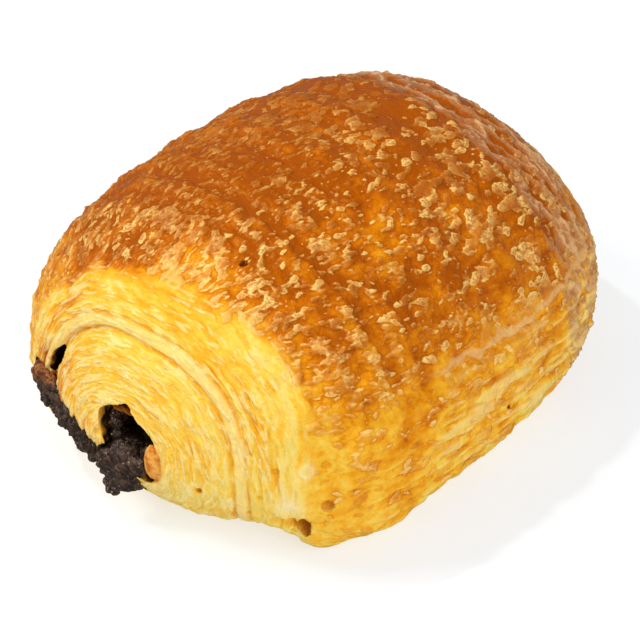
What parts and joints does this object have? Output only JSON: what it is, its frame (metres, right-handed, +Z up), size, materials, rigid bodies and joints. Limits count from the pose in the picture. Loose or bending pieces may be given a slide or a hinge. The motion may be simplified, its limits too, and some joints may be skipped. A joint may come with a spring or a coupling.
{
  "type": "pain au chocolat",
  "caption": "Pain au chocolat: rolled flaky dough with a browned glossy crust and dark chocolate that runs through it and shows at its ends.",
  "frame": {"origin": "on the floor, under the middle of the box round the pastry", "axes": "+X along the roll, from the shown end to the far end; +Y across the roll, away from the shown long side; +Z up"},
  "size_m": [0.1127, 0.09, 0.059],
  "materials": {
    "crust": null,
    "chocolate": null
  },
  "bodies": {
    "root": {"dough": "crust", "stick_left": "chocolate", "stick_right": "chocolate"}
  },
  "joints": []
}
